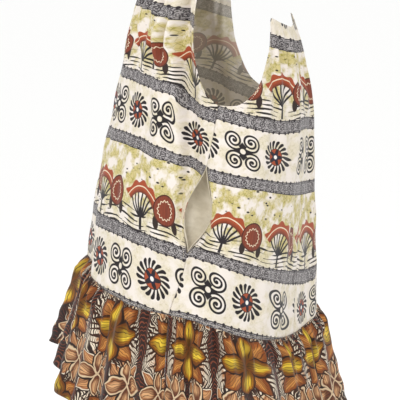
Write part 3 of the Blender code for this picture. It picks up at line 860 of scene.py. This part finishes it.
def makeRufflePrint():
    # yellow flowers in the first row, peach ones in pairs in the second, and feathers between them
    tree, add = newGroup("rufflePrint")
    place = clothPlace(add)[0]
    cell = {"width": 212.0, "flowerBelowSeam": 60.0, "rowsApart": 102.0, "wobble": 34, "wobblesPerMm": 0.022}
    width, rowsApart = cell["width"], cell["rowsApart"]
    # drawn a little unevenly
    wobble = add("TexNoise", place, cell["wobblesPerMm"], 2.0, 0.5).node.outputs["Color"]
    wobble = add("VectorMath ADD", wobble, (-0.5, -0.5, -0.5))
    wobble = add("VectorMath MULTIPLY", wobble, (cell["wobble"], cell["wobble"], 0))
    x, y = add("SeparateXYZ", add("VectorMath ADD", place, wobble)).node.outputs[:2]
    cellX = add("-", add("Math FLOORED_MODULO", x, width), width / 2)
    sideX = add("abs", cellX)
    farX = add("-", width / 2, sideX)
    pairX = add("-", sideX, width / 4)
    rowPlaces = []
    for rowAt in (cell["flowerBelowSeam"], cell["flowerBelowSeam"] + rowsApart):
        rowY = add("Math FLOORED_MODULO", add("+", y, rowAt + rowsApart), 2 * rowsApart)
        rowPlaces.append(add("-", rowY, rowsApart))
    # cream, clouded with peach
    cloud = add("TexNoise", place, 0.03, 3.0, 0.6)
    colour = add("Mix", add("MapRange", cloud, 0.44, 0.58), "#EBDCC4", "#B87E50")
    colour = feather(add, sideX, y, 19.0, 46.0, 8.0, ("#24130F", "#5E2A1E", "#DFCBAE"), colour)
    colour = feather(add, farX, y, 15.0, 44.0, 9.0, ("#2B1812", "#7E4029", "#E9DAC2"), colour)
    # shades of the leaves and of the petals: line, edge, deep, body and heart
    peach = (
        ("#2A1A14", "#E0D0B8", "#6A3824", "#A2663C", "#CC9462"),
        ("#2A1A14", "#D6BC98", "#5E3220", "#A06840", "#D6A474"),
    )
    yellow = (
        ("#3A1E0E", "#7E441C", "#64290F", "#9A5620", "#C48440"),
        ("#2A1508", "#6E3C0A", "#5A380C", "#B4780F", "#E2C038"),
    )
    colour = openFlower(add, pairX, rowPlaces[1], 51.0, 52.0, peach, colour)
    return finishGroup(tree, openFlower(add, cellX, rowPlaces[0], 80.0, 62.0, yellow, colour))


def newMaterial(name, roughness, sheen):
    material = bpy.data.materials.new(name)
    material.use_nodes = True
    shader = material.node_tree.nodes["Principled BSDF"]
    shader.inputs["Roughness"].default_value = roughness
    shader.inputs["Specular IOR Level"].default_value = 0.25
    shader.inputs["Sheen Weight"].default_value = sheen
    shader.inputs["Sheen Roughness"].default_value = 0.5
    return material, partial(addNode, material.node_tree), shader


def dress(shader, colour, height, strength, depth):
    # gives a material its colour, and its relief from a height pattern
    tree = shader.id_data
    tree.links.new(colour, shader.inputs["Base Color"])
    bump = addNode(tree, "Bump", strength, depth)
    tree.links.new(height, bump.node.inputs["Height"])
    tree.links.new(bump, shader.inputs["Normal"])


def weaveHeight(add, place):
    # creases a few centimetres long and the slub of the yarn; single threads are too fine to show,
    # so the slub is drawn at 2.5 mm
    creased = add("TexNoise", place, 0.022, 5.0, 0.55)
    slub = add("TexNoise", add("VectorMath MULTIPLY", place, (0.09, 0.4, 1.0)), 1.0, 2.0, 0.6)
    return add("*+", slub, 0.06, creased)


def printedCloth(name, group, roughness, reverse):
    # reverse is how far the print fades on the wrong side of the cloth
    material, add, shader = newMaterial(name, roughness, 0.12)
    design = add("Group", node_tree=group)
    colour = add("Mix", reverse, design, "#E6DFD0") if reverse else design
    dress(shader, colour, weaveHeight(add, clothPlace(add)[0]), 0.35, 0.004)
    return material


def plainCloth(name, light, shade):
    # plain-weave cotton, with the small colour change of unevenly dyed yarn
    material, add, shader = newMaterial(name, 0.8, 0.1)
    place = clothPlace(add)[0]
    tone = add("MapRange", add("TexNoise", place, 0.05, 4.0, 0.6), 0.4, 0.6)
    dress(shader, add("Mix", tone, light, shade), weaveHeight(add, place), 0.35, 0.004)
    return material


def sewingThread(name, light, shade):
    # spun cotton thread, matt, its two plies seen as light and dark along it; drawn at 0.8 mm, about
    # three times its real thickness, so that it shows
    material, add, shader = newMaterial(name, 0.7, 0.2)
    ply = add("TexNoise", add("TexCoord").node.outputs["Object"], 900.0, 2.0, 0.5)
    dress(shader, add("Mix", add("MapRange", ply, 0.4, 0.6), light, shade), ply, 0.4, 0.0002)
    return material


# wax-printed plain-weave cotton, its paler wrong side, the ruffle's second print, and thread
waxDesign = makePrint()
ruffleDesign = makeRufflePrint()
waxCotton = printedCloth("waxPrintCotton", waxDesign, 0.62, 0.0)
waxCottonBack = printedCloth("waxPrintCottonReverse", waxDesign, 0.75, 0.45)
ruffleCotton = printedCloth("rufflePrintCotton", ruffleDesign, 0.62, 0.0)
ruffleCottonBack = printedCloth("rufflePrintCottonReverse", ruffleDesign, 0.75, 0.40)
plainCotton = plainCloth("plainCotton", "#E6DFCF", "#DCD4C2")
pocketCotton = plainCloth("pocketCotton", "#DCD3C0", "#CFC5B0")
creamThread = sewingThread("creamCottonThread", "#EDE6D4", "#C9BEA4")
brownThread = sewingThread("brownCottonThread", "#7A5438", "#4C3222")
print("materials made")


def seamGaps(s, first):
    # half a gap at each end of a grid's rows
    return np.where(s == first, 0.5, np.where(s == 1, -0.5, 0)) * bodyCloth["seamGap"]


# the front, from the ruffle seam to the neckband; s runs from -1 at its right edge to 1 at its left
def frontPoints(s, up):
    turn = frontEdgeTurn(up) * s
    opened = mouthGape(up, bodyCloth["mouthAhead"]) * np.abs(s) ** bodyCloth["mouthFadeAhead"]
    gap = seamGaps(s, -1) + 0 * up - np.sign(s) * opened
    edge = (1 - np.abs(s)) * bodyCloth["edgeScale"] + 0 * up
    return turn, clothPoints(turn, up, bodyCloth["neckUp"], gap, edge)


def makeFront():
    s = np.linspace(-1, 1, bodyCloth["frontColumns"] + 1)[None, :]
    up = np.linspace(0, bodyCloth["neckUp"], bodyCloth["frontRows"] + 1)[:, None]
    turn, points = frontPoints(s, up)
    uv = np.stack(frontPrint(turn, up + 0 * s), -1)
    return sheetPiece("frontCloth", points, uv, [waxCotton, waxCottonBack], bodyCloth["thickness"])


# a back, whose s runs from 0 at the side to 1 at the centre back; side is 1 for the wearer's left
def backPoints(s, up, side):
    turn = 90 + 90 * s + 0 * up
    opened = mouthGape(up, bodyCloth["mouthBehind"]) * (1 - s) ** bodyCloth["mouthFadeBehind"]
    gap = seamGaps(s, 0) + opened
    edge = np.minimum(s, 1 - s) * bodyCloth["edgeScale"] + 0 * up
    realTurn = turn if side > 0 else 360 - turn
    return realTurn, clothPoints(realTurn, up, backTopUp(turn), side * gap, edge)


def makeBack(name, side):
    s = np.linspace(0, 1, bodyCloth["backColumns"] + 1)[None, :]
    share = np.linspace(0, 1, bodyCloth["backRows"] + 1)[:, None]
    level, split = bodyCloth["underarmUp"] * bodyCloth["backBelowTo"], bodyCloth["backRowsBelow"]
    above = level + (backTopUp(90 + 90 * s) - level) * (share - split) / (1 - split)
    up = np.where(share < split, level * share / split, above)
    turn, points = backPoints(s, up, side)
    uv = np.stack(backPrint(turn, up, side), -1)
    if side < 0:
        points, uv = points[:, ::-1], uv[:, ::-1]
    return sheetPiece(name, points, uv, [waxCotton, waxCottonBack], bodyCloth["thickness"])


# a pocket bag, from its mouth in the side seam inwards; share runs from 0 there to 1 at its end
pocketShape = {
    "reach": 0.125,
    "drop": 0.045,
    "full": 0.026,
    "fullestEarly": 0.9,
    "fullTo": 0.93,
    "fullRound": 0.8,
    "mouthShare": 0.97,
    "narrows": 0.55,
    "narrowsLate": 2.5,
    "innerBehind": 1.5,
    "standOff": 0.0025,
    "clear": 0.012,
    "clearWithin": 0.16,
    "hipRadius": 0.26,
    "sides": 72,
    "rows": 36,
    "thickness": 0.0010,
}


def makePocket(name, side):
    shape, cloth = pocketShape, bodyCloth
    share = np.linspace(0, 1, shape["rows"] + 1)[:, None]
    angle = np.linspace(0, 2 * np.pi, shape["sides"], endpoint=False)[None, :]
    half = (cloth["mouthHighUp"] - cloth["mouthLowUp"]) / 2 * shape["mouthShare"]
    half = half * (1 - shape["narrows"] * share ** shape["narrowsLate"])
    up = (cloth["mouthHighUp"] + cloth["mouthLowUp"]) / 2 - shape["drop"] * share - half * np.cos(angle)
    full = np.sin(np.pi * share ** shape["fullestEarly"] * shape["fullTo"]) ** shape["fullRound"]
    innerSide = 0.5 - 0.5 * np.sin(angle)
    frontLip = mouthGape(up, cloth["mouthAhead"]) * (1 - innerSide)
    backLip = mouthGape(up, cloth["mouthBehind"]) * innerSide
    forward = share ** (1 + shape["innerBehind"] * innerSide)
    spread = (frontLip - backLip) * (1 - forward)
    depth = shape["standOff"] + shape["clear"] * smoothStep(0, shape["clearWithin"], share)
    depth = depth + shape["full"] * full * innerSide
    turn = side * (90 - np.degrees(shape["reach"] * forward / shape["hipRadius"]))
    points = bodyPoints(turn, up, cloth["neckUp"], -side * spread) - ringAxes(turn, up)[1] * depth[..., None]
    uv = np.stack((forward * shape["reach"], up), -1)
    if side < 0:
        points, uv = points[:, ::-1], uv[:, ::-1]
    return sheetPiece(name, points, uv, [pocketCotton], shape["thickness"], wraps=True, closedEnd=True)


ruffleRows = tableOf(
    ("turn", "depth", "flare", "puff"),
    (0, 0.200, 0.074, 0.016), (12, 0.210, 0.074, 0.015), (26, 0.240, 0.074, 0.010),
    (45, 0.258, 0.070, 0.010), (90, 0.258, 0.062, 0.010), (135, 0.252, 0.062, 0.010),
    (180, 0.248, 0.074, 0.010),
)
# share runs from 0 at the seam to 1 at the hem; a pair is the start and the end of a change
ruffleCloth = {
    "puffWithin": 0.14,
    "waves": 24,
    "waveDepth": 0.017,
    "waveSway": 0.006,
    "waveSharp": 0.45,
    "waveLean": 0.35,
    "waveGrows": 0.8,
    "puckersPerWave": 3,
    "puckerDepth": 0.0044,
    "puckerComesIn": (0, 0.06),
    "puckerGoesFrom": 0.1,
    "finePuckersPerWave": 5,
    "finePuckerDepth": 0.0022,
    "fineComesIn": (0, 0.03),
    "fineGoesOut": (0.05, 0.30),
    "hemUneven": 0.0022,
    "rowsCloser": 1.15,
    "flatHalfWidth": 1.32,
    "columns": 400,
    "rows": 60,
    "thickness": 0.0012,
}


def rufflePoints(turn, share, gap):
    shape = ruffleCloth
    row = {name: curveAt(ruffleRows, "turn", name, np.abs(halfTurn(turn))) for name in ruffleRows}
    out = row["puff"] * smoothStep(0, shape["puffWithin"], share) + (row["flare"] - row["puff"]) * share
    # the waves' uneven spacing, depth and lean come from slow sines round the body
    angle = np.radians(turn)
    uneven = 0.55 * np.sin(2 * angle) + 0.4 * np.sin(6 * angle)
    swing = 0.82 + 0.18 * np.sin(5 * angle + 1.3)
    waveAngle = shape["waves"] * angle + uneven
    leant = waveAngle + shape["waveLean"] * np.sin(4 * angle) * share
    sharp = leant - shape["waveSharp"] * np.sin(leant)
    out = out - shape["waveDepth"] * swing * np.cos(sharp) * share ** shape["waveGrows"]
    puckerAngle = shape["waves"] * shape["puckersPerWave"] * angle
    pucker = -np.cos(puckerAngle + 0.5 * np.sin(6 * angle))
    reachDown = 0.45 + 0.2 * np.sin(11 * angle + 2)
    fade = 1 - smoothStep(shape["puckerGoesFrom"], reachDown, share)
    fade = smoothStep(*shape["puckerComesIn"], share) * fade
    out = out + shape["puckerDepth"] * pucker * fade
    fineAngle = shape["waves"] * shape["finePuckersPerWave"] * angle
    fine = -np.cos(fineAngle + 0.9 * np.sin(10 * angle))
    fade = smoothStep(*shape["fineComesIn"], share) * (1 - smoothStep(*shape["fineGoesOut"], share))
    out = out + shape["finePuckerDepth"] * fine * fade
    out = out + shape["hemUneven"] * np.sin(30 * share + 13 * angle) * np.sin(17 * angle) * share
    drop = np.sqrt(row["depth"] ** 2 - row["flare"] ** 2) * share
    sway = -shape["waveSway"] * np.sin(waveAngle) * share
    along, outward = ringAxes(turn, 0.0 * turn)
    seam = bodyPoints(turn, 0.0 * turn, bodyCloth["neckUp"])
    points = seam + outward * out[..., None] + along * (sway + gap)[..., None]
    points[..., 2] -= drop + bodyCloth["seamGap"]
    return points


def makeRuffle(name, firstTurn, printStart):
    shape = ruffleCloth
    share = np.linspace(1, 0, shape["rows"] + 1)[:, None] ** shape["rowsCloser"]
    s = np.linspace(0, 1, shape["columns"] + 1)[None, :]
    turn = firstTurn + 180 * s + 0 * share
    points = rufflePoints(turn, share + 0 * s, seamGaps(s, 0) + 0 * share)
    depth = curveAt(ruffleRows, "turn", "depth", np.abs(halfTurn(turn)))
    uv = np.stack((printStart + shape["flatHalfWidth"] * s + 0 * share, -depth * share), -1)
    return sheetPiece(name, points, uv, [ruffleCotton, ruffleCottonBack], shape["thickness"])


neckBand = {
    "height": 0.030,
    "overlap": math.radians(18),
    "step": 0.0030,
    "lean": 0.004,
    "crown": 0.0010,
    "metresPerRadian": 0.069,
    "thickness": 0.0020,
    "columns": 300,
    "rows": 14,
}


def bandPoints(angle, level):
    band = neckBand
    last = np.pi + band["overlap"] / 2
    turn = np.degrees(angle)
    up = bodyCloth["neckUp"] + 0 * turn
    lap = band["step"] * smoothStep(last - 2 * band["overlap"], last - band["overlap"], angle)
    out = lap - band["lean"] * level + band["crown"] * np.sin(np.pi * level)
    points = ringPoints(turn, up) + ringAxes(turn, up)[1] * out[..., None]
    points[..., 2] += bodyCloth["seamGap"] + band["height"] * level
    return points


def makeNeckBand():
    band = neckBand
    last = np.pi + band["overlap"] / 2
    level = np.linspace(0, 1, band["rows"] + 1)[:, None]
    angle = np.linspace(-last, last, band["columns"] + 1)[None, :]
    points = bandPoints(angle + 0 * level, level + 0 * angle)
    uv = np.stack((angle * band["metresPerRadian"] + 0 * level, 0 * angle + level * band["height"]), -1)
    return sheetPiece("neckBandCloth", points, uv, [plainCotton], band["thickness"])


# sewing: one stitch, and rows of copies of it along a line on the cloth, in metres; step, a share of
# the cloth's width, and stepUp are short ways over the cloth that show how it faces
stitchShape = {
    "pitch": 0.0042,
    "length": 0.0031,
    "halfWidth": 0.00042,
    "rise": 0.00012,
    "dive": 0.00045,
    "sides": 6,
    "rings": 4,
    "fromEdge": 0.006,
    "fromSeam": 0.0045,
    "pastMouth": 0.012,
    "step": 0.005,
    "stepUp": 0.002,
}


def modelStitch():
    # a short stretch of thread lying along X, whose ends dive into the cloth
    shape = stitchShape
    counts = {"segments": shape["sides"], "ring_count": shape["rings"]}
    bpy.ops.mesh.primitive_uv_sphere_add(rotation=(0, math.pi / 2, 0), **counts)
    stitch = bpy.context.active_object
    stitch.name = "oneStitch"
    stitch.scale = (shape["halfWidth"], shape["halfWidth"], shape["length"] / 2)
    bpy.ops.object.transform_apply(location=False, rotation=True, scale=True)
    for vertex in stitch.data.vertices:
        vertex.co.z += shape["rise"] - shape["dive"] * (2 * vertex.co.x / shape["length"]) ** 4
    points = np.array([vertex.co for vertex in stitch.data.vertices])
    faces = [np.array(polygon.vertices) for polygon in stitch.data.polygons]
    bpy.data.objects.remove(stitch)
    return points, faces


def stitchesAlong(line, beside):
    # each stitch's middle and its three directions: ahead, aside and out of the cloth; beside is the
    # same line moved a little over the cloth, which gives the cloth's facing
    run = np.concatenate(([0], np.cumsum(np.linalg.norm(np.diff(line, axis=0), axis=1))))
    count = int(run[-1] / stitchShape["pitch"])
    middles = (np.arange(count) + 0.5) * run[-1] / count

    def lineAt(values, where):
        return np.stack([np.interp(where, run, values[:, i]) for i in range(3)], -1)

    start = lineAt(line, middles - stitchShape["length"] / 2)
    end = lineAt(line, middles + stitchShape["length"] / 2)
    ahead = (end - start) / np.linalg.norm(end - start, axis=1, keepdims=True)
    facing = np.cross(ahead, lineAt(beside, middles) - lineAt(line, middles))
    facing /= np.linalg.norm(facing, axis=1, keepdims=True)
    outward = (start * (1, 1, 0) * facing).sum(axis=1, keepdims=True)
    facing = np.where(outward < 0, -facing, facing)
    return np.stack(((start + end) / 2, ahead, np.cross(facing, ahead), facing), axis=1)


def stitchPiece(name, rows, material):
    stitchPoints, stitchFaces = oneStitch
    places = np.concatenate(rows)
    points = places[:, None, 0] + stitchPoints @ places[:, 1:]
    first = len(stitchPoints) * np.arange(len(places))
    faces = [(face + start).tolist() for start in first for face in stitchFaces]
    mesh = bpy.data.meshes.new(name)
    mesh.from_pydata(points.reshape(-1, 3).tolist(), [], faces)
    mesh.materials.append(material)
    piece = bpy.data.objects.new(name, mesh)
    bpy.context.scene.collection.objects.link(piece)
    mesh.shade_smooth()
    return piece


def stitchRow(pointsAt, across, up, stepAcross, stepUp):
    return stitchesAlong(pointsAt(across, up), pointsAt(across + stepAcross, up + stepUp))


def edgeShare(up):
    # the share of the front's half width that lies outside a row of edge stitches
    halfWidth = np.radians(frontEdgeTurn(up)) * curveAt(bodyRings, "up", "halfWidth", up)
    return stitchShape["fromEdge"] / halfWidth


def edgeRows(armholeTop, count):
    # heights up the armhole and up the pocket's mouth
    low, high = bodyCloth["mouthLowUp"], bodyCloth["mouthHighUp"]
    armhole = np.linspace(bodyCloth["underarmUp"] + 0.004, armholeTop, count)
    return armhole, np.linspace(low - stitchShape["pastMouth"], high + stitchShape["pastMouth"], 60)


def frontStitches():
    def pointsAt(s, up):
        return frontPoints(s, up)[1]

    rows = []
    for side in (1, -1):
        for up in edgeRows(bodyCloth["neckUp"] - 0.004, 120):
            s = side * (1 - edgeShare(up))
            rows.append(stitchRow(pointsAt, s, up, -stitchShape["step"] * s, 0))
    s = np.linspace(-0.995, 0.995, 400)
    rows.append(stitchRow(pointsAt, s, 0 * s + stitchShape["fromSeam"], 0, stitchShape["stepUp"]))
    return stitchPiece("frontStitches", rows, creamThread)


def backStitches(name, side):
    def pointsAt(s, up):
        return backPoints(s, up, side)[1]

    rows = []
    for up in edgeRows(backTopUp(90.0) - stitchShape["fromEdge"], 90):
        rows.append(stitchRow(pointsAt, edgeShare(up), up, stitchShape["step"], 0))
    s = np.linspace(0.03, 0.97, 160)
    top = backTopUp(90 + 90 * s) - stitchShape["fromEdge"]
    rows.append(stitchRow(pointsAt, s, top, 0, -stitchShape["stepUp"]))
    s = np.linspace(0.005, 0.995, 240)
    rows.append(stitchRow(pointsAt, s, 0 * s + stitchShape["fromSeam"], 0, stitchShape["stepUp"]))
    return stitchPiece(name, rows, creamThread)


def ruffleStitches(name, firstTurn):
    def pointsAt(turn, share):
        return rufflePoints(turn, share, 0 * turn)

    turn = firstTurn + np.linspace(0.5, 179.5, 900)
    return stitchPiece(name, [stitchRow(pointsAt, turn, 0 * turn + 0.955, 0, -0.01)], brownThread)


def bandStitches():
    last = np.pi + neckBand["overlap"] / 2 - 0.04
    angle = np.linspace(-last, last, 300)
    rows = [stitchRow(bandPoints, angle, 0 * angle + level, 0, 0.05) for level in (0.10, 0.90)]
    return stitchPiece("neckBandStitches", rows, creamThread)


front = makeFront()
backLeft = makeBack("backLeftCloth", 1)
backRight = makeBack("backRightCloth", -1)
print("front and backs made")
pocketLeft = makePocket("pocketLeftCloth", 1)
pocketRight = makePocket("pocketRightCloth", -1)
ruffleFront = makeRuffle("ruffleFrontCloth", -90, 0.03)
ruffleBack = makeRuffle("ruffleBackCloth", 90, 0.42)
band = makeNeckBand()
print("pockets, ruffles and neckband made")
oneStitch = modelStitch()
sewing = (
    frontStitches(),
    backStitches("backLeftStitches", 1),
    backStitches("backRightStitches", -1),
    ruffleStitches("ruffleFrontStitches", -90),
    ruffleStitches("ruffleBackStitches", 90),
    bandStitches(),
)
print("stitches made")

pieces = (
    # piece, node, slot, flat size, area, held, stitches
    (front, "front", "wax_print_cotton", (0.88, 0.76), 0.52, "hung", sewing[0]),
    (backLeft, "back_left", "wax_print_cotton", (0.46, 0.64), 0.21, "hung", sewing[1]),
    (backRight, "back_right", "wax_print_cotton", (0.46, 0.64), 0.21, "hung", sewing[2]),
    (pocketLeft, "pocket_left", "pocket_cotton", (0.27, 0.19), 0.046, "hung", None),
    (pocketRight, "pocket_right", "pocket_cotton", (0.27, 0.19), 0.046, "hung", None),
    (ruffleFront, "ruffle_front", "ruffle_print_cotton", (1.32, 0.26), 0.32, "gathered", sewing[3]),
    (ruffleBack, "ruffle_back", "ruffle_print_cotton", (1.32, 0.26), 0.33, "gathered", sewing[4]),
    (band, "neck_band", "plain_cotton", (0.50, 0.03), 0.0145, "stretched", sewing[5]),
)
for piece, node, slot, flat, area, held, stitches in pieces:
    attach(piece, "root")
    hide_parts(node)
    if stitches:
        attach(stitches, "root")
print("pieces joined to the frame")

# floor and light
studio = {
    "floorDrop": 1.46,
    "floorSize": 90.0,
    "worldStrength": 0.70,
    "topStrength": 1.05,
    "topSoftness": 50,
}
# azimuth and elevation in degrees, distance and size in metres, and watts
lights = {
    "keyLight": (78, 32, 3.2, 1.3, 26.0),
    "fillLight": (150, 20, 3.6, 2.2, 12.0),
    "backLight": (285, 30, 3.6, 2.2, 12.0),
}
# the picture's size and the place in it of the middle of the scene are in pixels
view = {
    "azimuth": 105,
    "elevation": 9,
    "distance": 4.0,
    "pixels": 400,
    "pixelsPerMetre": 480,
    "originAt": (225, -72),
    "sensor": 36,
}


def makeFloor():
    bpy.ops.mesh.primitive_circle_add(vertices=64, radius=studio["floorSize"], fill_type="NGON")
    floor = bpy.context.active_object
    floor.name = "studioFloor"
    # pale matt paint
    paleFloor, _, shader = newMaterial("paintedFloor", 0.9, 0.0)
    shader.inputs["Base Color"].default_value = linearColour("#FBFBFA")
    for vertex in floor.data.vertices:
        vertex.co.z = -studio["floorDrop"]
    floor.data.materials.append(paleFloor)


def axesAt(azimuth, elevation):
    a, e = math.radians(azimuth), math.radians(elevation)
    back = Vector((math.sin(a) * math.cos(e), -math.cos(a) * math.cos(e), math.sin(e)))
    right = Vector((math.cos(a), math.sin(a), 0))
    return right, back.cross(right), back


def addAt(name, data, azimuth, elevation, distance, target):
    # adds a camera or a lamp that looks at the target
    axes = axesAt(azimuth, elevation)
    thing = bpy.data.objects.new(name, data)
    place = Matrix(axes).transposed().to_4x4()
    place.translation = target + axes[2] * distance
    thing.matrix_world = place
    bpy.context.scene.collection.objects.link(thing)
    return thing


def makeCamera():
    right, up, _ = axesAt(view["azimuth"], view["elevation"])
    aside, drop = ((view["pixels"] / 2 - at) / view["pixelsPerMetre"] for at in view["originAt"])
    target = right * aside - up * drop
    data = bpy.data.cameras.new("camera")
    data.sensor_width = view["sensor"]
    data.lens = view["sensor"] * view["distance"] / (view["pixels"] / view["pixelsPerMetre"])
    data.clip_end = 200
    camera = addAt("camera", data, view["azimuth"], view["elevation"], view["distance"], target)
    bpy.context.scene.camera = camera
    return target


def makeLights(target):
    for name, (azimuth, elevation, distance, size, power) in lights.items():
        data = bpy.data.lights.new(name, "AREA")
        data.shape = "DISK"
        data.size = size
        data.energy = power
        addAt(name, data, azimuth, elevation, distance, target)
    data = bpy.data.lights.new("topLight", "SUN")
    data.energy = studio["topStrength"]
    data.angle = math.radians(studio["topSoftness"])
    bpy.context.scene.collection.objects.link(bpy.data.objects.new("topLight", data))


makeFloor()
makeLights(makeCamera())
world = bpy.data.worlds.new("studioWorld")
world.use_nodes = True
background = world.node_tree.nodes["Background"].inputs
background["Color"].default_value = (1, 1, 1, 1)
background["Strength"].default_value = studio["worldStrength"]
bpy.context.scene.world = world
# colours come out as they are, with white at full white
bpy.context.scene.view_settings.view_transform = "Standard"
print("floor, camera and light made")
